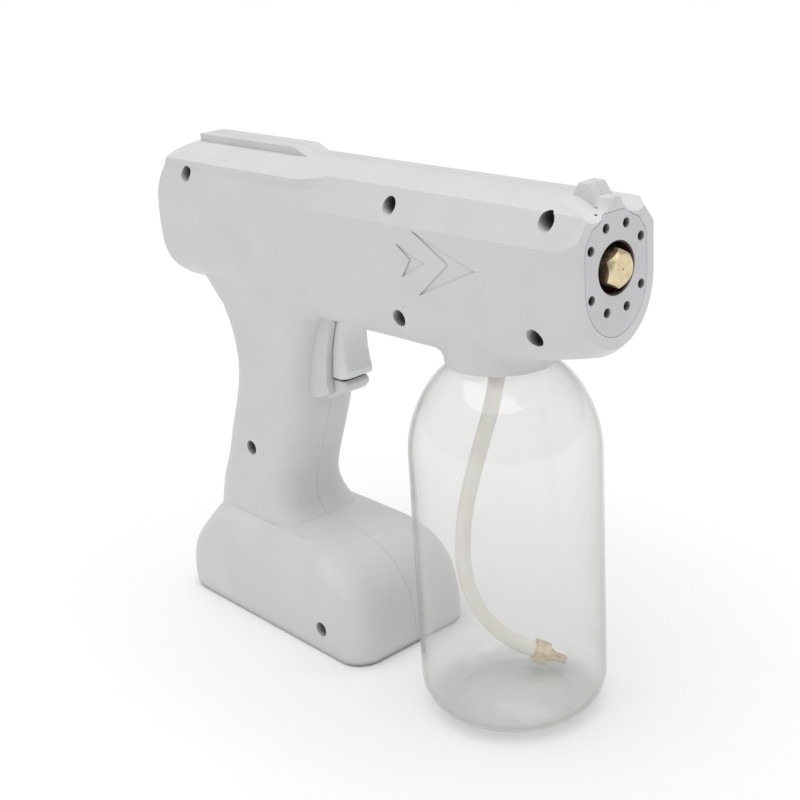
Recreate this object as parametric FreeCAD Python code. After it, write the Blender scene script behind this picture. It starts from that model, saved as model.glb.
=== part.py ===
import FreeCAD, Part
import math
import os

# Cordless disinfectant sprayer gun, in millimetres.
# Origin: on the floor under the middle of the gun. +X is where it sprays, +Z is up, and the two
# housing halves meet on the plane y = 0.

V = FreeCAD.Vector
os.makedirs("parts", exist_ok=True)

# ---- driving dimensions ----
WALL = 2.6               # moulded wall of the housing
REAR_X = -137.2          # rear end of the barrel
FRONT_X = 134.1          # front face of the barrel
NOSE_X = 129.6           # where the bevel round the front face starts
ROOF_Z = 234.3           # crown of the barrel's roof
ROOF_RADIUS = 47.0       # its round, across the barrel
ROOF_EDGE = 19.1         # half width where the roof meets the chamfer
BARREL_HALF = 26.2       # half width of the barrel
REAR_CORNER_R = 4.5      # its upright corners at the rear
BOTTLE_X = 73.0          # axis of the bottle and its collar
BOTTLE_R = 41.0
COLLAR_R = 23.5
COLLAR_Z = 160.2         # lower rim of the collar
SPRAY_Z = 207.8          # axis of the nozzle
PLATE_HALF = 17.6        # half width of the front plate
SHOULDER_X = -8.0        # front end of the raised rear shoulders
SHOULDER_HALF = 24.0
COLLAR_BLEND = 6.0
NACELLE_HALF = 11.6
LEDGE_HALF = 7.6
GRIP_BLEND = 10.0
TRIGGER_TRAVEL = 6.0
TRIGGER_HALF = 8.0
BUTTON_Z = 203.0         # power button on the rear end
SHAFT_Z = 204.0          # pump motor shaft
GEAR_MODULE = 0.8
GEAR_TEETH = 10
IDLER_Z = SHAFT_Z - GEAR_MODULE * GEAR_TEETH
RUN = 0.05               # radial running clearance
LED_CIRCLE = 16.9
LED_ANGLES = [s * a for s in (1, -1) for a in (33.0, 70.4, 109.6, 147.0)]
CELL_R = 9.2
CELL_LENGTH = 65.0
HOSE_R = 3.5
HOSE_BORE_R = 2.0
LED_R = 1.8
SHROUD_R = 10.4
NOZZLE_HEX = 13.4        # across flats
NOZZLE_TIP_X = 137.2
NOZZLE_BACK_X = 122.5
PLATE_SIDE_Z = 203.0
PLATE_BOTTOM_Z = 181.5
GEAR_X = 26.8
GEAR_WIDTH = 6.0
SHAFT_R = 1.5
PIN_R = 1.45
MOTOR_R = 12.0
MOTOR_LENGTH = 31.0
PORT_Y = 5.5
PUMP_SCREWS = [(y, z) for y in (-9.5, 9.5) for z in (187.5, 212.5)]
SOCKET_R = 20.8
SOCKET_Z = 164.5
NECK_R = 15.6
NECK_TOP_Z = 181.5
SEAL_T = 1.5
THREAD_PITCH = 3.0
BOTTLE_WALL = 0.9
PLUNGER_Z = 148.0
PLUNGER_R = 2.6
SWITCH_FRONT_X = -50.0
BUTTON_R = 5.5
JACK_X = -132.2          # rear face of the charging socket
JACK_Z = 20.0
JACK_R = 4.2
CELL_X = -93.0
CELL_Z = 13.0
RECESS_R = 3.7
BOSS_R = 4.0
SCREW_R = 1.4
SCREW_HEAD_R = 2.9
SCREW_HEAD_Y = 12.0      # depth of the screw heads, from the middle plane
SCREW_TIP_Y = 10.0
CHEVRON_DEPTH = 0.5

# (x, z, half width of the housing there)
SCREWS = [(-108.7, 221.8, 25), (35.4, 223.5, 24), (118.9, 227.4, 23), (39.9, 177.5, 26), (114.0, 183.0, 25),
          (-98.0, 157.4, 22), (-85.9, 84.6, 21), (-115.5, 48.4, 30), (-18.6, 13.6, 38)]
# ribs across the hollow: x from, x to, z from, z to, then the axis and radius of what they hold
RIBS = [(-4.0, -2.0, 186, 211, 0, SHAFT_Z, MOTOR_R + 0.05), (12.0, 14.0, 186, 211, 0, SHAFT_Z, MOTOR_R + 0.05),
        (108.6, 111.3, 193, 212, 0, SPRAY_Z, 7.55)]
# shallow arrows on the right side: tip (x, z), then length, rise, drop and depth of the notch
CHEVRONS = [((86.5, 204.8), (35.5, 11.5, 15.0, 15.4)), ((58.6, 203.6), (17.2, 6.0, 7.5, 9.0))]

INLET_ROUTE = [(37.2, -PORT_Y, 200.0), (44.0, -PORT_Y, 200.0), (50.5, -3.6, 196.5), (57.5, -0.6, 191.6),
               (64.0, 0.0, 191.0)]
OUTLET_ROUTE = [(37.2, PORT_Y, 200.0), (52.0, PORT_Y, 200.0), (66.0, PORT_Y, 200.2), (80.0, 3.6, 203.2),
                (90.0, 0.6, 207.0), (104.0, 0.0, 207.8)]


def save(name, shape):
    shape.exportStep(f"parts/{name}.step")


def group(shapes):
    return Part.makeCompound(shapes)


def block(x0, x1, y0, y1, z0, z1):
    return Part.makeBox(x1 - x0, y1 - y0, z1 - z0, V(x0, y0, z0))


def rod_x(x0, x1, y, z, r):
    return Part.makeCylinder(r, x1 - x0, V(x0, y, z), V(1, 0, 0))


def rod_y(y0, y1, x, z, r):
    return Part.makeCylinder(r, y1 - y0, V(x, y0, z), V(0, 1, 0))


def rod_z(z0, z1, x, y, r):
    return Part.makeCylinder(r, z1 - z0, V(x, y, z0))


def hex_x(x0, x1, y, z, across_flats):
    """A hexagonal bar along X with round-turned ends."""
    r = across_flats / math.sqrt(3)
    corners = [V(x0, y + r * math.sin(math.radians(60 * i)), z + r * math.cos(math.radians(60 * i)))
               for i in range(7)]
    return Part.Face(Part.makePolygon(corners)).extrude(V(x1 - x0, 0, 0))


def side_prism(points, half):
    """A closed side outline of (x, z) points, extruded to both sides of the middle plane."""
    wire = Part.makePolygon([V(x, -half, z) for x, z in points + points[:1]])
    return Part.Face(wire).extrude(V(0, 2 * half, 0))


def front_prism(points, x0, x1):
    """A closed front outline of (y, z) points, extruded along X."""
    wire = Part.makePolygon([V(x0, y, z) for y, z in points + points[:1]])
    return Part.Face(wire).extrude(V(x1 - x0, 0, 0))


# ---- sections of the housing ----

def roof(y):
    return ROOF_Z - y * y / (2 * ROOF_RADIUS)


def crease_z(x):
    """Height of the crease between chamfer and side, which rises a little towards the front."""
    return 214.2 + 0.0159 * (x - REAR_X)


def barrel_section(x, edge, edge_z, crease, half, side_z, bottom, fullness, inset):
    """Closed section across the barrel: crowned roof, chamfers, sides and a full, round belly."""
    e = edge - 0.6 * inset
    ze = edge_z - inset
    w = half - inset
    zc = crease - 0.3 * inset
    zb = bottom + inset

    def p(y, z):
        return V(x, y, z)

    def belly(side):
        poles = [p(side * w, side_z), p(side * w, side_z - fullness * (side_z - zb)),
                 p(side * fullness * w, zb), p(0, zb)]
        curve = Part.BezierCurve()
        curve.setPoles(poles if side > 0 else poles[::-1])
        return curve.toShape()

    return Part.Wire([
        Part.Arc(p(-e, ze), p(0, ROOF_Z - inset), p(e, ze)).toShape(),
        Part.LineSegment(p(e, ze), p(w, zc)).toShape(),
        Part.LineSegment(p(w, zc), p(w, side_z)).toShape(),
        belly(1),
        belly(-1),
        Part.LineSegment(p(-w, side_z), p(-w, zc)).toShape(),
        Part.LineSegment(p(-w, zc), p(-e, ze)).toShape(),
    ])


def level_section(z, x0, x1, half, rear_r, front_r):
    """Closed level section: a rectangle with round corners of one radius at each end."""
    def corner(cx, cy, r, start):
        return [V(cx + r * math.cos(math.radians(start + a)), cy + r * math.sin(math.radians(start + a)), z)
                for a in (0, 45, 90)]

    corners = [corner(x1 - front_r, half - front_r, front_r, 0), corner(x0 + rear_r, half - rear_r, rear_r, 90),
               corner(x0 + rear_r, rear_r - half, rear_r, 180), corner(x1 - front_r, front_r - half, front_r, 270)]
    edges = []
    for i, points in enumerate(corners):
        following = corners[(i + 1) % len(corners)][0]
        edges.append(Part.Arc(*points).toShape())
        edges.append(Part.LineSegment(points[2], following).toShape())
    return Part.Wire(edges)


def level_loft(rows, inset):
    """A body lofted through level sections of (z, rear x, front x, half width, rear r, front r)."""
    return Part.makeLoft([level_section(z, x0 + inset, x1 - inset, half - inset, r0 - inset, r1 - inset)
                          for z, x0, x1, half, r0, r1 in rows], True, False)


# ---- the solid outer shape of the housing; inset gives its hollow ----

def barrel(inset=0.0):
    #        x            belly starts, bottom, fullness
    rows = [(REAR_X + inset, 192, 164.5, 0.78), (-60, 191, 163.5, 0.78), (-10, 190, 161.5, 0.80), (35, 190, 162, 0.80),
            (70, 191, 163, 0.78), (100, 195, 166.5, 0.70), (NOSE_X, 200, 173.0, 0.60)]
    sections = [barrel_section(x, ROOF_EDGE, roof(ROOF_EDGE), crease_z(x), BARREL_HALF, side, bottom, full, inset)
                for x, side, bottom, full in rows]
    nose_end = barrel_section(FRONT_X - inset, 15.6, 229.0, 221.5, 21.6, 203, 176.6, 0.5523, inset)
    nose = Part.makeLoft([sections[-1], nose_end], True, True)
    return Part.makeLoft(sections, True, False).fuse(nose)


def rear_end(inset=0.0):
    """Everything in front of the barrel's round rear end, with round upright corners."""
    half = BARREL_HALF - inset
    outline = [(-124.6, 231.2), (-130.6, 221.5), (-135.6, 213), (REAR_X, 203), (-137.1, 191), (-135.4, 183),
               (-131.6, 177), (-125.0, 172.0)]
    curve = Part.BSplineCurve()
    curve.interpolate([V(x + inset, -half, z) for x, z in outline])
    ends = [V(-114 + inset, -half, 240), V(-110 + inset, -half, 160), V(200, -half, 160), V(200, -half, 240)]
    edges = [curve.toShape(), Part.LineSegment(curve.EndPoint, ends[1]).toShape(),
             Part.LineSegment(ends[1], ends[2]).toShape(), Part.LineSegment(ends[2], ends[3]).toShape(),
             Part.LineSegment(ends[3], ends[0]).toShape(), Part.LineSegment(ends[0], curve.StartPoint).toShape()]
    body = Part.Face(Part.Wire(edges)).extrude(V(0, 2 * half, 0))
    corners = [e for e in body.Edges if e.BoundBox.YLength < 0.01 and e.BoundBox.XMax < 0]
    return body.makeFillet(REAR_CORNER_R - inset, corners)


def handle(inset=0.0):
    return level_loft([
        (192, -124, -20, 22.0, 12, 12), (180, -120, -22, 22.2, 13, 12), (170, -114, -26, 22.0, 13, 12),
        (160, -105.3, -31, 21.5, 13, 12), (150, -100.5, -35.5, 20.7, 13, 12), (138, -98.1, -39.5, 20.1, 13, 12),
        (126, -98.0, -42, 19.9, 13, 12), (114, -100.7, -43.6, 19.8, 13, 12), (102, -105.1, -47.5, 19.7, 13, 12),
        (90, -110.0, -52.2, 19.7, 13, 12), (78, -113.9, -57.0, 19.9, 13, 12), (68, -117.4, -60.2, 20.7, 13, 12),
        (60, -118.9, -60.4, 22.3, 13, 12), (54, -119.4, -57.6, 23.8, 14, 12), (47.5, -119.6, -52, 26.0, 15, 12),
    ], inset)


def base(inset=0.0):
    return level_loft([
        (inset, -131.5, 7.0, 36.2, 13, 13), (3, -133.1, 8.0, 36.9, 13, 13), (12, -133.7, 8.0, 37.0, 13, 13),
        (22, -131.8, 6.6, 36.8, 13, 13), (30, -127.6, 3.6, 36.4, 13, 13), (37, -121.8, -1.6, 35.6, 13, 13),
        (42.5, -119.4, -8.6, 33.8, 17, 13), (46.8, -119.6, -18.0, 30.6, 24, 13),
        (50 - inset, -119.6, -31, 26.0, 24, 13),
    ], inset)


def nacelle(inset=0.0):
    """The short square snout of the grip that holds the trigger, with a ledge under it."""
    outline = [(-62, 172), (-21.5, 172), (-22.8, 162), (-26.0, 153), (-28.6, 143), (-30.2, 131.0),
               (-29.6, 124.0), (-33.5, 121.5), (-40, 119.8), (-46, 122), (-62, 124)]
    if inset:
        outline = [(-62, 172), (-25, 172), (-26, 162), (-29, 153), (-31.5, 143), (-33.5, 128), (-38, 124),
                   (-62, 127)]
    return side_prism(outline, NACELLE_HALF - inset)


def ledge():
    """The lip under the trigger that keeps the fingers off it."""
    outline = [(-36, 130.8), (-22.6, 130.2), (-21.2, 128.6), (-21.6, 126.4), (-24.0, 123.9), (-36, 118.6)]
    body = side_prism(outline, LEDGE_HALF)
    fronts = [e for e in body.Edges if e.BoundBox.XMax > -35 and e.BoundBox.YLength < 0.01]
    return body.makeFillet(1.6, fronts)


def shoulder(side):
    """A raised, hollow-sided shoulder beside the roof at the rear; side is -1 or +1."""
    def section(x, corner, under, foot):
        points = [(0, 226), (0, ROOF_Z - 0.02), (ROOF_EDGE, roof(ROOF_EDGE) - 0.02), corner, under, foot,
                  (BARREL_HALF, crease_z(x))]
        return Part.makePolygon([V(x, side * y, z) for y, z in points + points[:1]])

    def chamfer_point(x, share):
        """A point just under the chamfer, share of the way down it."""
        return (ROOF_EDGE + share * (BARREL_HALF - ROOF_EDGE) - 0.1,
                roof(ROOF_EDGE) + share * (crease_z(x) - roof(ROOF_EDGE)) - 0.1)

    full = ((SHOULDER_HALF, roof(SHOULDER_HALF) - 0.02), (SHOULDER_HALF - 0.5, roof(SHOULDER_HALF) - 4.0),
            (BARREL_HALF - 1.2, crease_z(SHOULDER_X) + 4.6))
    wires = [section(REAR_X - 1, *full), section(SHOULDER_X - 14, *full),
             section(SHOULDER_X, *[chamfer_point(SHOULDER_X, share) for share in (0.04, 0.4, 0.8)])]
    return Part.makeLoft(wires, True, True)


def rear_rail():
    """The low flat-topped rail on the roof at the rear, with a ramp at its front."""
    return side_prism([(-119, 226), (-119, 237.4), (-44.8, 237.4), (-35.0, 233.4), (-35.0, 226)], 7.0)


def front_sight():
    """The small wedge on the roof at the front."""
    def level(x0, x1, half, z):
        return Part.makePolygon([V(x0, -half, z), V(x1, -half, z), V(x1, half, z), V(x0, half, z), V(x0, -half, z)])

    wedge = Part.makeLoft([level(116.8, 130.0, 5.8, 231), level(120.6, 125.0, 4.3, 239.3)], True, True)
    return wedge.makeFillet(1.5, [e for e in wedge.Edges if e.BoundBox.ZMin > 239])


def front_scoops():
    """The shallow hollows that dip the roof's front edge on both sides of the front sight."""
    return [Part.makeCylinder(9.0, 20.0, V(FRONT_X + 3, y, 235.2), V(-1, 0, 0.36)) for y in (-11.5, 11.5)]


def collar(inset=0.0):
    return rod_z(COLLAR_Z, 196, BOTTLE_X, 0, COLLAR_R - inset)


def outer_shape():
    """The housing's solid outer shape, both halves in one."""
    trunk = barrel()
    for side in (1, -1):
        trunk = trunk.fuse(shoulder(side))
    trunk = trunk.common(rear_end())
    grip = handle().fuse(base())
    trunk = trunk.fuse(grip).fuse(collar())
    trunk = blend(trunk, barrel(), collar(), COLLAR_BLEND)
    trunk = blend(trunk, barrel(), handle(), GRIP_BLEND)
    trunk = trunk.cut(group(front_scoops()))
    return trunk.fuse(nacelle()).fuse(ledge()).fuse(rear_rail()).fuse(front_sight())


def blend(shape, first, second, radius):
    """Rounds the inside corner where two of the bodies in shape meet."""
    skins = [Part.makeShell(first.Faces), Part.makeShell(second.Faces)]
    corner = []
    for edge in shape.Edges:
        middle = Part.Vertex(edge.valueAt((edge.FirstParameter + edge.LastParameter) / 2))
        if all(middle.distToShape(skin)[0] < 0.05 for skin in skins):
            corner.append(edge)
    return shape.makeFillet(radius, corner)


def hollow():
    """The space inside the walls."""
    space = barrel(WALL).common(rear_end(WALL))
    cable_way = rod_z(40, 58, -80, 0, 10)
    for part in (handle(WALL), base(WALL), nacelle(WALL), cable_way):
        space = space.fuse(part)
    bore = rod_z(COLLAR_Z - 1, 190, BOTTLE_X, 0, SOCKET_R + 0.1)
    return space.fuse(bore).cut(group(roof_backing()))


def roof_backing():
    """Thicker roof under the front scoops."""
    blocks = []
    for side in (-1, 1):
        for near, z in ((3.5, 228.9), (8.0, 226.9)):
            y0, y1 = sorted((side * near, side * 30.0))
            blocks.append(block(112, 140, y0, y1, z, 240))
    return blocks


# ---- screws, and the bosses they sit in ----

def screw_recess(x, z, outside):
    head = rod_y(-outside - 1, -SCREW_HEAD_Y, x, z, RECESS_R)
    return head.fuse(rod_y(-SCREW_HEAD_Y - 0.1, 0, x, z, SCREW_R + 0.2))


def screw(x, z):
    """A self-tapping screw along Y with a pan head and a cross recess."""
    y = -SCREW_HEAD_Y
    head = rod_y(y - 2.0, y, x, z, SCREW_HEAD_R)
    for turn in (0, 90):
        slot = block(x - 2.0, x + 2.0, y - 2.1, y - 1.0, z - 0.45, z + 0.45)
        slot.rotate(V(x, y, z), V(0, 1, 0), turn)
        head = head.cut(slot)
    return head.fuse(rod_y(y, SCREW_TIP_Y, x, z, SCREW_R))


def housing_half(side, outer, space):
    """One moulded half: side is -1 for the right half, +1 for the left."""
    keep = block(-200, 200, 0, 100, -10, 260) if side > 0 else block(-200, 200, -100, 0, -10, 260)
    solid = outer.common(keep)
    shell = solid.cut(space)
    extras = []
    for x, z, outside in SCREWS:
        boss = rod_y(0, outside, x, z, BOSS_R) if side > 0 else rod_y(-outside, 0, x, z, BOSS_R + 1.0)
        extras.append(boss.common(solid))
    for x0, x1, z0, z1, y_axis, z_axis, r in RIBS:
        rib = space.common(keep).common(block(x0, x1, -60, 60, z0, z1))
        extras.append(rib.cut(rod_x(x0 - 1, x1 + 1, y_axis, z_axis, r)))
    for extra in extras:
        shell = shell.fuse(extra)
    shell = shell.cut(group(housing_openings()))
    for x, z, outside in SCREWS:
        if side > 0:
            shell = shell.cut(rod_y(-1, SCREW_TIP_Y + 1, x, z, SCREW_R))
        else:
            shell = shell.cut(screw_recess(x, z, outside))
    if side < 0:
        for tip, size in CHEVRONS:
            shell = shell.cut(chevron(tip, size))
    return largest(shell)


def largest(shape):
    return max(shape.Solids, key=lambda solid: solid.Volume)


def housing_openings():
    """What is cut through both halves: plate, trigger, button and charging socket."""
    trigger_slot = block(-44, 0, -TRIGGER_HALF - 0.4, TRIGGER_HALF + 0.4, 130.95, 161.4)
    return [
        front_prism(plate_outline(0.15), FRONT_X - WALL - 0.1, FRONT_X + 1),
        trigger_slot,
        rod_x(REAR_X - 3, REAR_X + 8, 0, BUTTON_Z, BUTTON_R + 0.3),
        rod_x(JACK_X - 8, JACK_X + 5, 0, JACK_Z, JACK_R + 0.15),
    ]


def chevron(tip, size):
    """A shallow arrow-shaped groove in the right side, pointing forwards."""
    x, z = tip
    length, up, down, inner = size
    points = [(x, z), (x - length, z + up), (x - inner, z + 0.2), (x - length + 3.0, z - down)]
    wire = Part.makePolygon([V(px, -BARREL_HALF - 1, pz) for px, pz in points + points[:1]])
    return Part.Face(wire).extrude(V(0, 1 + CHEVRON_DEPTH, 0))


# ---- front end ----

def plate_outline(gap=0.0):
    """Outline of the front plate: round at the bottom, with a low tab at the top."""
    half = PLATE_HALF + gap
    points = []
    for i in range(0, 19):
        a = math.radians(180 + 10 * i)
        points.append((half * math.cos(a), PLATE_SIDE_Z + (PLATE_SIDE_Z - PLATE_BOTTOM_Z + gap) * math.sin(a)))
    top = [(17.5, 216.0), (16.4, 219.8), (13.3, 224.4), (9.6, 226.0), (5.4, 229.2)]
    points += [(y + gap, z + gap) for y, z in top]
    points += [(-y - gap, z + gap) for y, z in reversed(top)]
    return points


def front_plate():
    plate = front_prism(plate_outline(), FRONT_X - WALL, FRONT_X)
    flange = front_prism(plate_outline(1.6), FRONT_X - WALL - 1.6, FRONT_X - WALL - 0.1)
    flange = flange.common(block(100, 150, -40, 40, 150, 222))
    plate = plate.fuse(flange.fuse(front_prism(plate_outline(-0.4), FRONT_X - WALL - 1, FRONT_X - 1)))
    plate = plate.cut(rod_x(125, 140, 0, SPRAY_Z, SHROUD_R))
    for y, z in led_centres():
        plate = plate.cut(rod_x(125, 140, y, z, LED_R + 0.1))
    return plate


def led_centres():
    return [(LED_CIRCLE * math.cos(math.radians(a)), SPRAY_Z + LED_CIRCLE * math.sin(math.radians(a)))
            for a in LED_ANGLES]


def led_board():
    board = rod_x(125.6, 127.0, 0, SPRAY_Z, 20.2).cut(rod_x(125, 128, 0, SPRAY_Z, 11.4))
    chips = [block(123.8, 125.6, y - 1.5, y + 1.5, z - 0.9, z + 0.9)
             for y, z in ((-16, SPRAY_Z), (16, SPRAY_Z), (6, SPRAY_Z - 15))]
    return board.fuse(group(chips))


def led(y, z):
    flange = rod_x(127.0, 128.0, y, z, LED_R + 0.35)
    dome = Part.makeSphere(LED_R, V(130.6, y, z))
    return flange.fuse(rod_x(128.0, 130.6, y, z, LED_R)).fuse(dome)


def nozzle():
    """Brass hexagon nozzle: chamfered face, fine orifice, threaded shank."""
    head = hex_x(NOZZLE_BACK_X, NOZZLE_TIP_X, 0, SPRAY_Z, NOZZLE_HEX)
    face_cone = Part.makeCone(NOZZLE_HEX / 2 - 1.0, NOZZLE_HEX / 2 + 13.1, NOZZLE_TIP_X - NOZZLE_BACK_X,
                              V(NOZZLE_TIP_X, 0, SPRAY_Z), V(-1, 0, 0))
    head = head.common(face_cone)
    shank = rod_x(NOZZLE_BACK_X - 9, NOZZLE_BACK_X, 0, SPRAY_Z, 4.0)
    body = head.fuse(shank)
    body = body.cut(rod_x(NOZZLE_BACK_X - 10, NOZZLE_TIP_X - 2, 0, SPRAY_Z, 1.5))
    return body.cut(rod_x(NOZZLE_BACK_X, NOZZLE_TIP_X + 1, 0, SPRAY_Z, 0.35))


def nozzle_holder():
    x = NOZZLE_BACK_X
    body = rod_x(x - 14, x - 3.2, 0, SPRAY_Z, 7.5).fuse(rod_x(x - 11, x - 8, 0, SPRAY_Z, 10.5))
    barb = rod_x(x - 24, x - 14, 0, SPRAY_Z, HOSE_BORE_R)
    body = body.fuse(barb)
    body = body.cut(rod_x(x - 9.5, x, 0, SPRAY_Z, 4.0))
    return body.cut(rod_x(x - 25, x, 0, SPRAY_Z, 1.1))


def nozzle_seal():
    x = NOZZLE_BACK_X
    return Part.makeTorus(5.0, 0.9, V(x - 0.95, 0, SPRAY_Z), V(1, 0, 0))


def nozzle_shroud():
    """Dark insulating cup round the nozzle."""
    x = NOZZLE_BACK_X
    cup = rod_x(x - 3.2, FRONT_X - 0.8, 0, SPRAY_Z, SHROUD_R)
    cup = cup.cut(rod_x(x - 1.9, FRONT_X, 0, SPRAY_Z, SHROUD_R - 0.6))
    return cup.cut(rod_x(x - 4, x, 0, SPRAY_Z, 4.1))


def charge_electrode():
    """Flat ring that charges the spray, at the bottom of the cup."""
    x = NOZZLE_BACK_X - 1.9
    return rod_x(x, x + 0.8, 0, SPRAY_Z, 9.6).cut(rod_x(x - 1, x + 2, 0, SPRAY_Z, 6.4))


# ---- pump ----

def gear(z, first_tooth):
    """Small spur gear in the plane x = const with slim teeth, first_tooth in degrees from +Z."""
    pitch_r = GEAR_MODULE * GEAR_TEETH / 2
    root_r, tip_r = pitch_r - 0.95, pitch_r + 0.62
    step = 360 / GEAR_TEETH
    points = []
    for i in range(GEAR_TEETH):
        for offset, r in ((-0.36, root_r), (-0.19, pitch_r), (-0.09, tip_r), (0.09, tip_r), (0.19, pitch_r),
                          (0.36, root_r)):
            a = math.radians(first_tooth + step * (i + offset))
            points.append((r * math.sin(a), z + r * math.cos(a)))
    return front_prism(points, GEAR_X, GEAR_X + GEAR_WIDTH)


def drive_gear():
    return gear(SHAFT_Z, 0).cut(rod_x(GEAR_X - 1, GEAR_X + GEAR_WIDTH + 1, 0, SHAFT_Z, SHAFT_R))


def idler_gear():
    # a tooth of the drive gear points straight down, so the idler has a gap straight up
    return gear(IDLER_Z, 180 / GEAR_TEETH).cut(rod_x(GEAR_X - 1, GEAR_X + GEAR_WIDTH + 1, 0, IDLER_Z, PIN_R + RUN))


def pump_body():
    x = GEAR_X
    body = block(x - 4.2, x + GEAR_WIDTH + 0.2, -13, 13, 184, 216)
    for z in (SHAFT_Z, IDLER_Z):
        body = body.cut(rod_x(x - 0.2, x + GEAR_WIDTH + 1, 0, z, GEAR_MODULE * GEAR_TEETH / 2 + 0.85))
    for side in (-1, 1):
        body = body.cut(block(x - 0.2, x + GEAR_WIDTH + 1, side * 5.2 - 3.8, side * 5.2 + 3.8, 198.2, 201.8))
    body = body.cut(rod_x(x - 5, x + 1, 0, SHAFT_Z, SHAFT_R + 0.06))
    body = body.cut(rod_x(x - 5, x - 2.2, 0, SHAFT_Z, 3.6))
    body = body.cut(rod_x(x - 2.2, x + 1, 0, IDLER_Z, PIN_R))
    for y, z in PUMP_SCREWS:
        body = body.cut(rod_x(x - 2, x + 8, y, z, 1.0))
    return body


def pump_cover():
    x = GEAR_X + GEAR_WIDTH + 0.2
    cover = block(x, x + 4, -13, 13, 184, 216)
    cover = cover.cut(rod_x(x - 1, x + 2, 0, IDLER_Z, PIN_R))
    for y in (-PORT_Y, PORT_Y):
        cover = cover.fuse(rod_x(x + 4, x + 13, y, 200, HOSE_BORE_R))
        cover = cover.cut(rod_x(x - 1, x + 14, y, 200, 1.1))
    for y, z in PUMP_SCREWS:
        cover = cover.cut(rod_x(x - 1, x + 5, y, z, 1.15))
    return cover


def pump_screw(y, z):
    x = GEAR_X + GEAR_WIDTH + 4.2
    head = rod_x(x, x + 1.6, y, z, 1.9)
    slot = block(x + 0.8, x + 2, y - 2, y + 2, z - 0.25, z + 0.25)
    return head.cut(slot).fuse(rod_x(x - 9.5, x, y, z, 1.0))


def shaft_seal():
    x = GEAR_X - 4.2
    return rod_x(x, x + 1.9, 0, SHAFT_Z, 3.6).cut(rod_x(x - 1, x + 3, 0, SHAFT_Z, SHAFT_R + 0.06))


def idler_pin():
    return rod_x(GEAR_X - 2.2, GEAR_X + GEAR_WIDTH + 2.2, 0, IDLER_Z, PIN_R)


def motor_can():
    x = GEAR_X - 4.2
    can = rod_x(x - MOTOR_LENGTH, x, 0, SHAFT_Z, MOTOR_R)
    can = can.cut(rod_x(x - MOTOR_LENGTH - 1, x - 1.0, 0, SHAFT_Z, MOTOR_R - 1.0))
    return can.cut(rod_x(x - 2, x + 1, 0, SHAFT_Z, SHAFT_R + 0.06))


def motor_magnets():
    """Two curved magnets against the wall of the can."""
    x = GEAR_X - 4.2
    ring = rod_x(x - 26, x - 5, 0, SHAFT_Z, MOTOR_R - 1.02).cut(rod_x(x - 27, x - 4, 0, SHAFT_Z, 9.0))
    gap = block(x - 30, x, -3, 3, SHAFT_Z - 14, SHAFT_Z + 14)
    return ring.cut(gap)


def motor_end_cap():
    x = GEAR_X - 4.2 - MOTOR_LENGTH
    cap = rod_x(x - 2.0, x, 0, SHAFT_Z, MOTOR_R)
    cap = cap.cut(rod_x(x - 1.6, x + 1, 0, SHAFT_Z, SHAFT_R + RUN))
    tabs = [block(x - 6, x - 2, y - 1.2, y + 1.2, SHAFT_Z - 0.3, SHAFT_Z + 0.3) for y in (-7, 7)]
    return cap.fuse(group(tabs))


def motor_rotor():
    """Armature and shaft, with the drive gear pressed on the shaft's front end."""
    x = GEAR_X - 4.2
    shaft = rod_x(x - MOTOR_LENGTH - 1.4, GEAR_X + GEAR_WIDTH - 0.2, 0, SHAFT_Z, SHAFT_R)
    core = rod_x(x - 25, x - 6, 0, SHAFT_Z, 8.4)
    for i in range(5):
        slot = block(x - 26, x - 5, -0.8, 0.8, SHAFT_Z + 5, SHAFT_Z + 9)
        slot.rotate(V(0, 0, SHAFT_Z), V(1, 0, 0), 72 * i)
        core = core.cut(slot)
    commutator = rod_x(x - 29, x - 25, 0, SHAFT_Z, 3.2)
    return shaft.fuse(core).fuse(commutator)


# ---- hoses and wires ----

def bent_path(points, smallest=0.0):
    """Straight runs joined by tangent arcs, each as large as its two runs allow. Prints the radii."""
    edges, radii, start = [], [], points[0]
    for i in range(1, len(points) - 1):
        before, after = points[i - 1] - points[i], points[i + 1] - points[i]
        turn = math.pi - before.getAngle(after)
        cut = 0.45 * min(before.Length, after.Length)
        radii.append(cut / math.tan(turn / 2))
        enter = points[i] + before.normalize() * cut
        leave = points[i] + after.normalize() * cut
        reach = radii[-1] * (1 / math.cos(turn / 2) - 1)
        middle = points[i] + (before + after).normalize() * reach
        edges.append(Part.LineSegment(start, enter).toShape())
        edges.append(Part.Arc(enter, middle, leave).toShape())
        start = leave
    edges.append(Part.LineSegment(start, points[-1]).toShape())
    return Part.Wire(edges), radii


def tube(points, r, bore=0.0):
    """A round hose or wire along bent_path."""
    path, radii = bent_path([V(*p) for p in points])
    along = (V(*points[1]) - V(*points[0]))
    swept = []
    for radius in [r] + ([bore] if bore else []):
        circle = Part.Wire(Part.makeCircle(radius, V(*points[0]), along))
        swept.append(path.makePipeShell([circle], True, True))
    body = swept[0].cut(swept[1]) if bore else swept[0]
    section = math.pi * (r * r - bore * bore)
    print(f"tube: {path.Length:.1f} mm, smallest radius {min(radii or [0]):.1f}, "
          f"volume {body.Volume / (section * path.Length):.4f} of section times length")
    return body


def bottle_point(across, z, back):
    """A point in the bottle: across to the gun's front left, back away to its rear left."""
    c, s = math.cos(math.radians(44.63)), math.sin(math.radians(44.63))
    return (BOTTLE_X + across * c - back * s, across * s + back * c, z)


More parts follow.
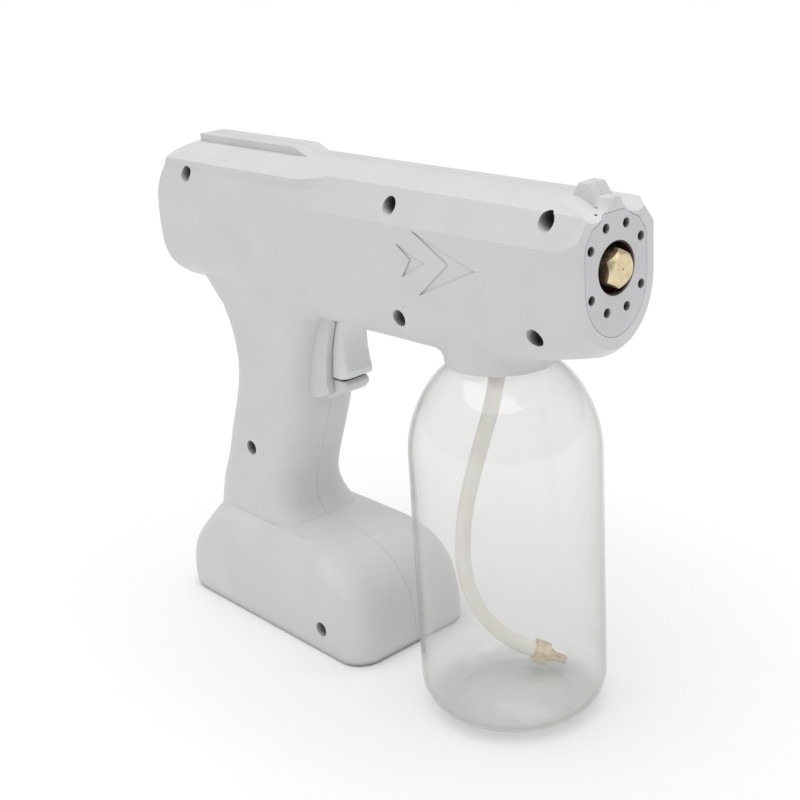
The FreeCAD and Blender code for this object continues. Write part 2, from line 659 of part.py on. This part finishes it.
# the suction hose's route, from the spigot down to the fitting
HOSE_ROUTE = [bottle_point(*p) for p in (
    (0.0, 173.0, 0.0), (-0.4, 162.0, 0.2), (-2.2, 151.0, 0.8), (-4.9, 137.5, 2.2), (-9.4, 122.5, 4.2),
    (-13.6, 108.0, 6.0), (-17.4, 92.5, 8.0), (-20.0, 77.0, 9.8), (-20.7, 61.5, 11.5), (-19.0, 47.0, 13.3),
    (-14.6, 34.5, 15.0), (-8.6, 24.9, 16.4), (-2.0, 18.3, 17.0), (4.6, 14.2, 17.3), (9.6, 12.0, 17.4))]


def suction_hose():
    return tube(HOSE_ROUTE, HOSE_R, HOSE_BORE_R)


def suction_fitting():
    """Brass hexagon with a barb in the hose and an inlet nipple, lying along the hose's end."""
    end = V(*HOSE_ROUTE[-1])
    along = (end - V(*HOSE_ROUTE[-2])).normalize()
    hexagon = hex_x(0, 6.5, 0, 0, 10.0).common(rod_x(-1, 8, 0, 0, 5.5))
    body = hexagon.fuse(rod_x(-9, 0, 0, 0, HOSE_BORE_R)).fuse(rod_x(6.5, 8.5, 0, 0, 3.1))
    body = body.fuse(Part.makeCone(2.4, 1.9, 7.0, V(8.5, 0, 0), V(1, 0, 0)))
    body = body.cut(rod_x(-10, 16, 0, 0, 1.0))
    turn = FreeCAD.Rotation(V(1, 0, 0), along)
    body.Placement = FreeCAD.Placement(end, turn)
    return body


# ---- bottle and its socket ----

def bottle_outline(inset):
    """Half outline of the bottle's outer skin, from the axis at the bottom to the top of the neck."""
    r = BOTTLE_R - inset
    wall = inset
    foot = 15.3

    def p(radius, z):
        return V(BOTTLE_X + radius, 0, z)

    corner = foot - wall
    arc = Part.Arc(p(r - corner, wall), p(r - corner + corner * math.sin(math.pi / 4),
                                          foot - corner * math.cos(math.pi / 4)), p(r, foot)).toShape()
    punt = Part.Arc(p(0, 5.0 + wall), p((r - corner) * 0.55, 3.6 + wall), p(r - corner, wall)).toShape()
    shoulder = Part.BSplineCurve()
    shoulder.interpolate([p(r, 120.5), p(40.2 - inset, 128), p(38.6 - inset, 134.4), p(36.2 - inset, 140.6),
                          p(32.9 - inset, 147.0), p(29.0 - inset, 152.2), p(24.8 - inset, 156.3),
                          p(21.0 - inset, 159.3 - 0.4 * inset), p(17.6 - inset, 162.2), p(NECK_R - inset, 166.0)])
    return [punt, arc, Part.LineSegment(p(r, foot), p(r, 120.5)).toShape(), shoulder.toShape()]


def bottle():
    def solid(inset, top):
        edges = bottle_outline(inset)
        neck = NECK_R - inset
        bottom = 5.0 + inset
        corners = [V(BOTTLE_X + neck, 0, 166.0), V(BOTTLE_X + neck, 0, top), V(BOTTLE_X, 0, top),
                   V(BOTTLE_X, 0, bottom)]
        for start, end in zip(corners, corners[1:]):
            edges.append(Part.LineSegment(start, end).toShape())
        return Part.Face(Part.Wire(edges)).revolve(V(BOTTLE_X, 0, 0), V(0, 0, 1), 360)

    body = solid(0.0, NECK_TOP_Z).cut(solid(BOTTLE_WALL, NECK_TOP_Z + 1))
    return body.fuse(neck_thread())


def neck_thread():
    """One and a quarter turns of thread on the neck, its flanks at 45 degrees."""
    z = 169.5
    helix = Part.makeHelix(THREAD_PITCH, 1.25 * THREAD_PITCH, NECK_R - 0.3)
    helix.translate(V(BOTTLE_X, 0, z))
    x = BOTTLE_X + NECK_R - 0.3
    profile = Part.makePolygon([V(x, 0, z - 0.9), V(x + 1.1, 0, z - 0.25), V(x + 1.1, 0, z + 0.25),
                                V(x, 0, z + 0.9), V(x, 0, z - 0.9)])
    return Part.Wire(helix.Edges).makePipeShell([profile], True, True)


def bottle_socket():
    """Capped ring held in the collar; the bottle's neck screws into it and the hose hangs from its spigot."""
    ring = rod_z(SOCKET_Z, 187, BOTTLE_X, 0, SOCKET_R)
    ring = ring.cut(rod_z(SOCKET_Z - 1, NECK_TOP_Z + SEAL_T, BOTTLE_X, 0, NECK_R + 1.2))
    ring = ring.cut(rod_z(SOCKET_Z - 1, SOCKET_Z + 2.5, BOTTLE_X, 0, 19.3))
    spigot = rod_z(163.5, 187, BOTTLE_X, 0, HOSE_BORE_R)
    elbow = rod_x(57, BOTTLE_X, 0, 191, HOSE_BORE_R).fuse(rod_z(186, 193.5, BOTTLE_X, 0, 3.4))
    ring = ring.fuse(spigot).fuse(elbow)
    ring = ring.cut(rod_z(160, 191, BOTTLE_X, 0, 1.1)).cut(rod_x(56, BOTTLE_X, 0, 191, 1.1))
    return ring.cut(rod_z(180, 190, BOTTLE_X + 9, 0, 2.6))


def bottle_seal():
    return rod_z(NECK_TOP_Z, NECK_TOP_Z + SEAL_T, BOTTLE_X, 0, NECK_R).cut(
        rod_z(170, 190, BOTTLE_X, 0, NECK_R - 3.0))


def vent_valve():
    """Duckbill valve that lets air into the bottle."""
    x = BOTTLE_X + 9
    top = rod_z(187, 188.5, x, 0, 3.8)
    return top.fuse(rod_z(180.5, 187, x, 0, 2.6)).cut(rod_z(182, 190, x, 0, 1.2))


# ---- trigger, buttons and switches ----

def trigger():
    """Squeeze trigger: concave face, lip at the bottom, plain guide block behind."""
    face = [(-19.0, 161.0), (-19.9, 156), (-20.6, 150), (-20.4, 144), (-19.4, 138.5), (-18.4, 135.4)]
    outline = face + [(-19.0, 132.4), (-24, 131.2), (-41, 131.2), (-41, 161.0)]
    body = side_prism(outline, TRIGGER_HALF)
    fronts = [e for e in body.Edges if e.BoundBox.XMin > -23.9 and abs(e.BoundBox.YLength) < 0.01]
    body = body.makeFillet(2.0, fronts)
    hole = rod_x(-42, -34, 0, PLUNGER_Z, PLUNGER_R)
    return body.cut(hole)


def switch_plunger():
    return rod_x(-58, -34, 0, PLUNGER_Z, PLUNGER_R)


def trigger_switch():
    body = block(-76, SWITCH_FRONT_X, -7.5, 7.5, 138, 157)
    body = body.cut(rod_x(-66, SWITCH_FRONT_X + 1, 0, PLUNGER_Z, PLUNGER_R + 0.08))
    tabs = [block(-80, -76, y - 1.5, y + 1.5, 140, 140.6) for y in (-4, 4)]
    return body.fuse(group(tabs))


def coil_spring(x0, x1, z, coil_r, wire_r, turns):
    """A helix along X from x0 to x1, laid as short runs and arcs."""
    steps = 12 * turns
    start, length = x0 + wire_r, x1 - x0 - 2 * wire_r
    route = []
    for i in range(steps + 1):
        a = math.radians(30 * i)
        route.append((start + length * i / steps, coil_r * math.sin(a), z + coil_r * math.cos(a)))
    return tube(route, wire_r)


def power_button():
    cap = rod_x(REAR_X, REAR_X + 5, 0, BUTTON_Z, BUTTON_R)
    return cap.fuse(rod_x(REAR_X + 4.6, REAR_X + 6, 0, BUTTON_Z, BUTTON_R + 1.2))


def power_switch():
    x = REAR_X + 8
    body = block(x, x + 4, -6, 6, BUTTON_Z - 6, BUTTON_Z + 6)
    return body.fuse(block(x + 4, x + 5.6, -9, 9, BUTTON_Z - 11, BUTTON_Z + 11))


def charge_socket():
    body = block(JACK_X + 4.9, JACK_X + 15.5, -4.5, 4.5, JACK_Z - 5.5, JACK_Z + 5.5)
    body = body.fuse(rod_x(JACK_X, JACK_X + 5, 0, JACK_Z, JACK_R))
    body = body.cut(rod_x(JACK_X - 1, JACK_X + 13.5, 0, JACK_Z, 2.75))
    return body.fuse(rod_x(JACK_X + 1.6, JACK_X + 14.5, 0, JACK_Z, 1.0))


# ---- power and electronics ----

def cell_rows():
    return [-20.0, 0.0, 20.0]


def battery_cell(y):
    x0 = CELL_X
    can = rod_x(x0, x0 + CELL_LENGTH - 1, y, CELL_Z, CELL_R)
    return can.fuse(rod_x(x0 + CELL_LENGTH - 1, x0 + CELL_LENGTH, y, CELL_Z, 3.0))


def battery_holder():
    x0, x1 = CELL_X - 4, CELL_X + CELL_LENGTH + 4
    tray = block(x0, x1, -30.5, 30.5, 3.0, 16)
    for y in cell_rows():
        tray = tray.cut(rod_x(CELL_X - 1.2, CELL_X + CELL_LENGTH + 1.2, y, CELL_Z, CELL_R + 0.3))
        tray = tray.cut(block(CELL_X - 1.2, CELL_X + CELL_LENGTH + 1.2, y - CELL_R - 0.3, y + CELL_R + 0.3,
                              CELL_Z, 17))
    for y0, x in ((-24.5, CELL_X + CELL_LENGTH), (-24.5, CELL_X - 0.6)):
        tray = tray.cut(block(x, x + 0.6, y0, -y0, CELL_Z - 3.4, 17))
    return tray


def battery_strips():
    """Nickel strips that join the cells' ends."""
    x1 = CELL_X + CELL_LENGTH
    front = block(x1, x1 + 0.3, -24, 4, CELL_Z - 3, CELL_Z + 3)
    front_tab = block(x1, x1 + 0.3, 16, 24, CELL_Z - 3, CELL_Z + 3)
    rear = block(CELL_X - 0.3, CELL_X, -4, 24, CELL_Z - 3, CELL_Z + 3)
    rear_tab = block(CELL_X - 0.3, CELL_X, -24, -16, CELL_Z - 3, CELL_Z + 3)
    return group([front, front_tab, rear, rear_tab])


def control_board():
    top = 27.6
    board = block(-117, -80, -24, 24, top - 1.6, top)
    chips = [block(-112, -104, -12, -4, top, top + 1.8), block(-96, -88, 4, 14, top, top + 5.4),
             rod_z(top, top + 9, -90, -12, 4.0), rod_z(top, top + 7, -104, 14, 3.2)]
    for chip in chips:
        board = board.fuse(chip)
    return board


def high_voltage_module():
    body = block(44, 82, -11, 11, 211.5, 226)
    return body.fuse(rod_x(82, 86, 5, 218, 2.0))


def wiring():
    """Leads that run up the grip and along the barrel."""
    runs = [
        ([(-78, -4, 29.2), (-79, -5, 40), (-80, -6, 60), (-74, -7, 80), (-70, -9, 104), (-70, -11, 128),
          (-70, -11.5, 152), (-56, -12, 176), (-36, -11, 192), (-15, -7.5, 202.6)], 1.0),
        ([(-78, 4, 29.2), (-79, 5, 40), (-80, 6, 60), (-74, 7, 80), (-70, 9, 104), (-70, 11, 128),
          (-70, 11.5, 152), (-56, 12, 176), (-36, 11, 192), (-15, 7.5, 202.6)], 1.0),
        ([(-119, 0, 200), (-90, 0, 205), (-60, 0, 213), (-30, 0, 217.4), (0, 0, 217.6), (26, 0, 217.5),
          (43.5, 0, 217.2)], 1.0),
        ([(86.5, 5, 218), (94, 6, 219.5), (104, 9.5, 219), (112, 10, 216), (118.8, 8.6, 213)], 0.8),
        ([(-119, -6, 204), (-90, -10, 208), (-60, -15, 212), (-30, -17, 216), (10, -18, 216), (50, -18, 216),
          (90, -17, 216), (123.2, -15, 213)], 0.8),
    ]
    return group([tube(points, r) for points, r in runs])


def main():
    outer = outer_shape()
    space = hollow()
    save("housing_right", housing_half(-1, outer, space))
    save("housing_left", housing_half(1, outer, space))
    save("housing_screws", group([screw(x, z) for x, z, outside in SCREWS]))
    save("front_plate", front_plate())
    save("nozzle", nozzle())
    save("nozzle_holder", nozzle_holder())
    save("nozzle_seal", nozzle_seal())
    save("nozzle_shroud", nozzle_shroud())
    save("charge_electrode", charge_electrode())
    save("high_voltage_module", high_voltage_module())
    save("led_board", led_board())
    save("leds", group([led(y, z) for y, z in led_centres()]))
    save("motor_can", motor_can())
    save("motor_magnets", motor_magnets())
    save("motor_end_cap", motor_end_cap())
    save("motor_rotor", motor_rotor())
    save("pump_body", pump_body())
    save("pump_cover", pump_cover())
    save("pump_screws", group([pump_screw(y, z) for y, z in PUMP_SCREWS]))
    save("pump_shaft_seal", shaft_seal())
    save("drive_gear", drive_gear())
    save("idler_gear", idler_gear())
    save("idler_pin", idler_pin())
    save("pump_inlet_hose", tube(INLET_ROUTE, HOSE_R, HOSE_BORE_R))
    save("pump_outlet_hose", tube(OUTLET_ROUTE, HOSE_R, HOSE_BORE_R))
    save("bottle_socket", bottle_socket())
    save("bottle_seal", bottle_seal())
    save("vent_valve", vent_valve())
    save("bottle", bottle())
    save("suction_hose", suction_hose())
    save("suction_fitting", suction_fitting())
    save("trigger", trigger())
    save("switch_plunger", switch_plunger())
    save("trigger_switch", trigger_switch())
    save("trigger_spring", coil_spring(SWITCH_FRONT_X, -41, PLUNGER_Z, 4.4, 0.4, 5))
    save("power_button", power_button())
    save("power_switch", power_switch())
    save("charge_socket", charge_socket())
    save("control_board", control_board())
    save("battery_holder", battery_holder())
    save("battery_cells", group([battery_cell(y) for y in cell_rows()]))
    save("battery_strips", battery_strips())
    save("wiring", wiring())


main()
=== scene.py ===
import math

import bpy
from mathutils import Matrix, Vector


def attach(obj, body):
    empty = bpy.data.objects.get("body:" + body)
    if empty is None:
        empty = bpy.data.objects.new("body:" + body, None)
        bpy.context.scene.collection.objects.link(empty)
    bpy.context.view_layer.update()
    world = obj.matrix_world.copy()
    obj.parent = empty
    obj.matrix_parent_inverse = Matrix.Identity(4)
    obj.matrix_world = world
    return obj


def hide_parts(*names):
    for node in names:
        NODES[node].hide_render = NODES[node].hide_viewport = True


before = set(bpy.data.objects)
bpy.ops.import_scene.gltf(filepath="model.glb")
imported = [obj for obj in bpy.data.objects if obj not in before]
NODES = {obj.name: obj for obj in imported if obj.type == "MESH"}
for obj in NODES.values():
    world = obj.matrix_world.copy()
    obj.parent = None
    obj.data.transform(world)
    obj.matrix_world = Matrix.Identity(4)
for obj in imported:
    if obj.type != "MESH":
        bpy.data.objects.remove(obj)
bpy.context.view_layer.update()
scene = bpy.context.scene

# driving sizes, metres
MM = 0.001
BOTTLE_X = 73 * MM                  # axis of the bottle
HOSE_D = 7.0 * MM
HOSE_TURN = math.radians(44.63)     # the hose's plane, from +X
# the suction hose's route: across its plane, height, and how far behind the plane, in mm
HOSE_ROUTE = (
    (0.0, 173.0, 0.0), (-0.4, 162.0, 0.2), (-2.2, 151.0, 0.8), (-4.9, 137.5, 2.2), (-9.4, 122.5, 4.2),
    (-13.6, 108.0, 6.0), (-17.4, 92.5, 8.0), (-20.0, 77.0, 9.8), (-20.7, 61.5, 11.5), (-19.0, 47.0, 13.3),
    (-14.6, 34.5, 15.0), (-8.6, 24.9, 16.4), (-2.0, 18.3, 17.0), (4.6, 14.2, 17.3), (9.6, 12.0, 17.4))
SEAM_HALF = 0.1 * MM                # half the width of the line where the housing halves meet
PAINTED_SHADE_REACH = 9 * MM              # how far a recess is looked into for the painted shade that darkens it
FLOOR_SIZE = 60.0
SKY_STRENGTH = 0.42
SUN_STRENGTH = 2.1
SUN_ANGLE = 80                      # degrees across, for very soft shadows
SUN_TOWARDS = (-0.02, 0.10, -1.0)
CAMERA_PLACE = (0.4495, -0.3814, 0.3447)
CAMERA_RIGHT = Vector((0.67014, 0.73942, -0.06452))
CAMERA_UP = Vector((-0.21972, 0.28065, 0.93433))
CAMERA_LENS = 61.94


# ---- materials ----

class Shader:
    """A new material with its Principled shader, and short ways to add nodes in the frame's coordinates."""

    def __init__(self, name, **values):
        self.material = bpy.data.materials.new(name)
        self.material.use_nodes = True
        self.tree = self.material.node_tree
        self.main = next(n for n in self.tree.nodes if n.type == "BSDF_PRINCIPLED")
        self.output = next(n for n in self.tree.nodes if n.type == "OUTPUT_MATERIAL")
        for socket, value in values.items():
            self.main.inputs[socket.replace("_", " ")].default_value = value
        self.place = self.add("ShaderNodeTexCoord").outputs["Object"]

    def add(self, kind, **settings):
        node = self.tree.nodes.new(kind)
        for key, value in settings.items():
            setattr(node, key, value)
        return node

    def link(self, source, target):
        self.tree.links.new(source, target)

    def noise(self, scale, detail=2.0, roughness=0.5, place=None):
        node = self.add("ShaderNodeTexNoise")
        node.inputs["Scale"].default_value = scale
        node.inputs["Detail"].default_value = detail
        node.inputs["Roughness"].default_value = roughness
        self.link(place or self.place, node.inputs["Vector"])
        return node.outputs["Fac"]

    def stretched(self, x, y, z):
        node = self.add("ShaderNodeMapping")
        node.inputs["Scale"].default_value = (x, y, z)
        self.link(self.place, node.inputs["Vector"])
        return node.outputs["Vector"]

    def ramp(self, factor, *stops):
        """A colour ramp from (position, colour) stops."""
        node = self.add("ShaderNodeValToRGB")
        elements = node.color_ramp.elements
        while len(elements) < len(stops):
            elements.new(0.5)
        for element, (position, colour) in zip(elements, stops):
            element.position = position
            element.color = (*colour, 1.0)
        self.link(factor, node.inputs["Fac"])
        return node.outputs["Color"]

    def spread(self, factor, low, high, from_low=0.0, from_high=1.0):
        node = self.add("ShaderNodeMapRange")
        limits = {"From Min": from_low, "From Max": from_high, "To Min": low, "To Max": high}
        for socket, value in limits.items():
            node.inputs[socket].default_value = value
        self.link(factor, node.inputs["Value"])
        return node.outputs["Result"]

    def math(self, operation, a, b=None):
        node = self.add("ShaderNodeMath", operation=operation)
        for i, value in enumerate((a, b)):
            if value is None:
                continue
            if isinstance(value, (int, float)):
                node.inputs[i].default_value = value
            else:
                self.link(value, node.inputs[i])
        return node.outputs["Value"]

    def mix(self, factor, a, b):
        """Colour a where factor is 0, b where it is 1."""
        node = self.add("ShaderNodeMix", data_type="RGBA")
        for socket, value in ((node.inputs[0], factor), (node.inputs[6], a), (node.inputs[7], b)):
            if isinstance(value, tuple):
                socket.default_value = (*value, 1.0)
            else:
                self.link(value, socket)
        return node.outputs[2]

    def bump(self, height, distance, strength=1.0, before=None):
        node = self.add("ShaderNodeBump")
        node.inputs["Distance"].default_value = distance
        node.inputs["Strength"].default_value = strength
        self.link(height, node.inputs["Height"])
        if before:
            self.link(before, node.inputs["Normal"])
        return node.outputs["Normal"]

    def colour(self, source):
        self.link(source, self.main.inputs["Base Color"])

    def rough(self, source):
        self.link(source, self.main.inputs["Roughness"])

    def normal(self, source):
        self.link(source, self.main.inputs["Normal"])


def moulded(name, colour, seam=False, roughness=0.46, grain=1.0, painted_crevice_shade=0.0):
    """Spark-textured moulded plastic with soft clouding, on the housing the line where its halves meet, and where
    asked painted shade that darkens its recesses.
    """
    s = Shader(name, Roughness=roughness)
    s.main.inputs["Specular IOR Level"].default_value = 0.42
    clouds = s.noise(38, 3)
    shade = tuple(c * 0.955 for c in colour)
    tone = s.ramp(clouds, (0.35, shade), (0.65, colour))
    if seam:
        split = s.add("ShaderNodeSeparateXYZ")
        s.link(s.place, split.inputs[0])
        near = s.math("LESS_THAN", s.math("ABSOLUTE", split.outputs["Y"]), SEAM_HALF)
        tone = s.mix(near, tone, tuple(c * 0.62 for c in colour))
    # painted shade: an ambient-occlusion probe darkens recesses, creases and gaps between parts towards near black
    if painted_crevice_shade:
        shade_probe = s.add("ShaderNodeAmbientOcclusion", samples=8)
        shade_probe.inputs["Distance"].default_value = PAINTED_SHADE_REACH
        painted_shade_depth = s.spread(shade_probe.outputs["AO"], 1.0, 0.0, 0.12, 0.62)
        tone = s.mix(s.math("MULTIPLY", painted_shade_depth, painted_crevice_shade), tone, tuple(c * 0.03 for c in colour))
    s.colour(tone)
    fine = s.noise(2600, 2, 0.6)
    broad = s.noise(700, 2)
    s.rough(s.spread(broad, roughness - 0.05, roughness + 0.06, 0.3, 0.7))
    s.normal(s.bump(fine, 0.00006 * grain, 0.55, s.bump(broad, 0.00006 * grain, 0.3)))
    return s.material


def turned_metal(name, colour, roughness=0.24, rings=2200, strength=0.35):
    """Turned metal: fine tool rings across X, small stains and a little wear."""
    s = Shader(name, Metallic=1.0, Roughness=roughness)
    marks = s.noise(1.0, 3, 0.7, s.stretched(rings, 160, 160))
    stains = s.noise(420, 4, 0.6)
    dull = tuple(c * 0.72 for c in colour)
    s.colour(s.ramp(stains, (0.3, dull), (0.6, colour)))
    s.rough(s.spread(stains, roughness - 0.06, roughness + 0.14, 0.3, 0.7))
    s.normal(s.bump(marks, 0.00004, strength))
    return s.material


def rubbery(name, colour, roughness=0.6):
    """Soft rubber or cable jacket with a little dust."""
    s = Shader(name, Roughness=roughness)
    dust = s.noise(900, 3)
    s.colour(s.ramp(dust, (0.3, tuple(c * 0.8 for c in colour)), (0.7, colour)))
    s.normal(s.bump(s.noise(3000, 2), 0.00003, 0.5))
    return s.material


def glossy(name, colour, roughness=0.2):
    """Smooth hard surface with faint clouding."""
    s = Shader(name, Roughness=roughness)
    cloud = s.noise(260, 3)
    s.colour(s.ramp(cloud, (0.3, tuple(c * 0.82 for c in colour)), (0.7, colour)))
    s.rough(s.spread(cloud, roughness * 0.7, roughness * 1.5))
    s.normal(s.bump(s.noise(900, 2), 0.00002, 0.4))
    return s.material


def clear_bottle():
    """Thin blown PET: a see-through, faintly milky wall that darkens and shines where it turns away."""
    s = Shader("clear_pet", Roughness=0.75)
    s.main.inputs["Base Color"].default_value = (0.95, 0.955, 0.95, 1)
    waves = s.noise(1.0, 2, 0.5, s.stretched(60, 60, 16))
    dimples = s.noise(170, 2)
    normal = s.bump(waves, 0.0005, 0.35, s.bump(dimples, 0.0001, 0.25))
    facing = s.add("ShaderNodeLayerWeight")
    facing.inputs["Blend"].default_value = 0.5
    s.link(normal, facing.inputs["Normal"])
    turned = s.math("POWER", facing.outputs["Facing"], 4.0)
    clear = s.add("ShaderNodeBsdfTransparent")
    tint = s.ramp(turned, (0.0, (0.978, 0.979, 0.975)), (0.55, (0.92, 0.922, 0.92)), (0.97, (0.34, 0.35, 0.36)))
    s.link(tint, clear.inputs["Color"])
    wall = s.add("ShaderNodeMixShader")
    s.link(s.spread(turned, 0.07, 0.22), wall.inputs["Fac"])
    s.link(clear.outputs["BSDF"], wall.inputs[1])
    s.link(s.main.outputs["BSDF"], wall.inputs[2])
    shine = s.add("ShaderNodeBsdfGlossy")
    shine.inputs["Roughness"].default_value = 0.06
    s.link(normal, shine.inputs["Normal"])
    gloss = s.spread(s.math("POWER", facing.outputs["Facing"], 5.0), 0.04, 0.85)
    skin = s.add("ShaderNodeMixShader")
    s.link(gloss, skin.inputs["Fac"])
    s.link(wall.outputs["Shader"], skin.inputs[1])
    s.link(shine.outputs["BSDF"], skin.inputs[2])
    s.link(skin.outputs["Shader"], s.output.inputs["Surface"])
    return s.material


def silicone():
    """Milky translucent tube with a slightly warm core."""
    s = Shader("silicone_hose", Roughness=0.34)
    s.main.inputs["Subsurface Weight"].default_value = 0.35
    s.main.inputs["Subsurface Radius"].default_value = (0.004, 0.0036, 0.0028)
    s.main.inputs["Subsurface Scale"].default_value = 0.8
    cloud = s.noise(90, 3)
    s.colour(s.ramp(cloud, (0.3, (0.86, 0.84, 0.77)), (0.7, (0.93, 0.92, 0.86))))
    s.normal(s.bump(s.noise(1400, 2), 0.00003, 0.3))
    return s.material


WHITE = (0.70, 0.70, 0.705)         # the shell's plastic

LOOKS = {
    # the last number on the next three lines sets how strongly painted shade darkens the recesses of the shell,
    # front plate and trigger
    "shell": moulded("shell", WHITE, seam=True, painted_crevice_shade=0.9),
    "front_plate": moulded("front_plate", (0.65, 0.645, 0.66), painted_crevice_shade=0.9),
    "trigger": moulded("trigger", (0.80, 0.80, 0.805), roughness=0.42, grain=0.7, painted_crevice_shade=0.5),
    "inner_plastic": moulded("inner_plastic", (0.66, 0.67, 0.68)),
    "holder_plastic": moulded("holder_plastic", (0.10, 0.10, 0.11)),
    "black_plastic": moulded("black_plastic", (0.045, 0.045, 0.05)),
    "acetal": moulded("acetal", (0.76, 0.75, 0.70), roughness=0.34),
    "insulator": glossy("dark_insulator", (0.055, 0.020, 0.022), 0.22),
    "led_lens": glossy("led_lens", (0.012, 0.011, 0.020), 0.12),
    "potting": glossy("potting", (0.03, 0.03, 0.035), 0.3),
    "board": glossy("circuit_board", (0.02, 0.16, 0.06), 0.35),
    "cell_wrap": glossy("cell_wrap", (0.08, 0.28, 0.47), 0.28),
    "wire": rubbery("wire_jacket", (0.42, 0.03, 0.025), 0.45),
    "rubber": rubbery("seal_rubber", (0.035, 0.035, 0.04)),
    "magnet": rubbery("ferrite", (0.07, 0.07, 0.08), 0.5),
    "brass": turned_metal("brass", (0.84, 0.71, 0.47), 0.38),
    "steel": turned_metal("steel", (0.58, 0.58, 0.60), 0.28),
    "dark_steel": turned_metal("dark_steel", (0.20, 0.20, 0.21), 0.42),
    "nickel": turned_metal("nickel", (0.62, 0.60, 0.55), 0.25, 900),
    "pet": clear_bottle(),
    "silicone": silicone(),
}
FINISH = {
    "housing_right": "shell", "housing_left": "shell", "housing_screws": "dark_steel", "front_plate": "front_plate",
    "nozzle": "brass", "nozzle_holder": "inner_plastic", "nozzle_seal": "rubber", "nozzle_shroud": "insulator",
    "charge_electrode": "steel", "high_voltage_module": "potting", "led_board": "board", "leds": "led_lens",
    "motor_can": "steel", "motor_magnets": "magnet", "motor_end_cap": "black_plastic", "motor_rotor": "steel",
    "pump_body": "acetal", "pump_cover": "acetal", "pump_screws": "dark_steel", "pump_shaft_seal": "rubber",
    "drive_gear": "steel", "idler_gear": "steel", "idler_pin": "steel", "pump_inlet_hose": "silicone",
    "pump_outlet_hose": "silicone", "bottle_socket": "inner_plastic", "bottle_seal": "rubber",
    "vent_valve": "rubber", "bottle": "pet", "suction_hose": "silicone", "suction_fitting": "brass",
    "trigger": "trigger", "switch_plunger": "black_plastic", "trigger_switch": "black_plastic",
    "trigger_spring": "steel", "power_button": "trigger", "power_switch": "black_plastic",
    "charge_socket": "black_plastic", "control_board": "board", "battery_holder": "holder_plastic",
    "battery_cells": "cell_wrap", "battery_strips": "nickel", "wiring": "wire",
}


def dress_frame():
    """Gives every CAD piece its material."""
    for name, piece in NODES.items():
        piece.data.materials.clear()
        piece.data.materials.append(LOOKS[FINISH[name]])


# ---- pieces that the frame leaves to this script ----

def hose_point(across, height, behind):
    """A place in the hose's own plane, turned into the frame."""
    x = BOTTLE_X + (across * math.cos(HOSE_TURN) - behind * math.sin(HOSE_TURN)) * MM
    y = (across * math.sin(HOSE_TURN) + behind * math.cos(HOSE_TURN)) * MM
    return Vector((x, y, height * MM))


def suction_hose():
    """The free hose in the bottle, from the socket's spigot to its brass fitting."""
    curve = bpy.data.curves.new("suction_line", "CURVE")
    curve.dimensions = "3D"
    curve.bevel_depth = HOSE_D / 2
    curve.bevel_resolution = 8
    curve.resolution_u = 12
    curve.use_fill_caps = True
    line = curve.splines.new("NURBS")
    route = [hose_point(*p) for p in HOSE_ROUTE]
    line.points.add(len(route) - 1)
    for point, place in zip(line.points, route):
        point.co = (*place, 1.0)
    line.order_u = 3
    line.use_endpoint_u = True
    hose = bpy.data.objects.new("suction_line", curve)
    scene.collection.objects.link(hose)
    curve.materials.append(LOOKS["silicone"])
    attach(hose, "housing")
    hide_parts("suction_hose")


# ---- surroundings ----

def soft_sun(name, towards, angle, strength):
    """A very wide sun, which lights the floor evenly however far it runs."""
    light = bpy.data.lights.new(name, "SUN")
    light.energy = strength
    light.angle = math.radians(angle)
    lamp = bpy.data.objects.new(name, light)
    lamp.rotation_euler = Vector(towards).to_track_quat("-Z", "Y").to_euler()
    scene.collection.objects.link(lamp)


def studio():
    """A plain pale floor under an even sky, with one wide sun from above."""
    bpy.ops.mesh.primitive_plane_add(size=FLOOR_SIZE, location=(0, 0, 0))
    floor = bpy.context.object
    floor.name = "floor"
    s = Shader("floor_paper", Roughness=0.9)
    s.colour(s.ramp(s.noise(3.0, 2), (0.3, (0.945, 0.945, 0.945)), (0.7, (0.955, 0.955, 0.955))))
    floor.data.materials.append(s.material)
    world = bpy.data.worlds.new("studio")
    world.use_nodes = True
    sky = world.node_tree.nodes["Background"]
    sky.inputs["Color"].default_value = (1.0, 1.0, 1.0, 1)
    sky.inputs["Strength"].default_value = SKY_STRENGTH
    scene.world = world
    scene.view_settings.view_transform = "Standard"
    soft_sun("overhead", SUN_TOWARDS, SUN_ANGLE, SUN_STRENGTH)


def camera():
    """The photo's view, from above the right front."""
    data = bpy.data.cameras.new("camera")
    data.sensor_width = 36
    data.lens = CAMERA_LENS
    data.clip_start = 0.01
    view = bpy.data.objects.new("camera", data)
    back = CAMERA_RIGHT.cross(CAMERA_UP).normalized()
    axes = [CAMERA_RIGHT.normalized(), CAMERA_UP.normalized(), back]
    turn = Matrix([[a[i] for a in axes] for i in range(3)])
    view.matrix_world = Matrix.Translation(CAMERA_PLACE) @ turn.to_4x4()
    scene.collection.objects.link(view)
    scene.camera = view


dress_frame()
suction_hose()
studio()
camera()
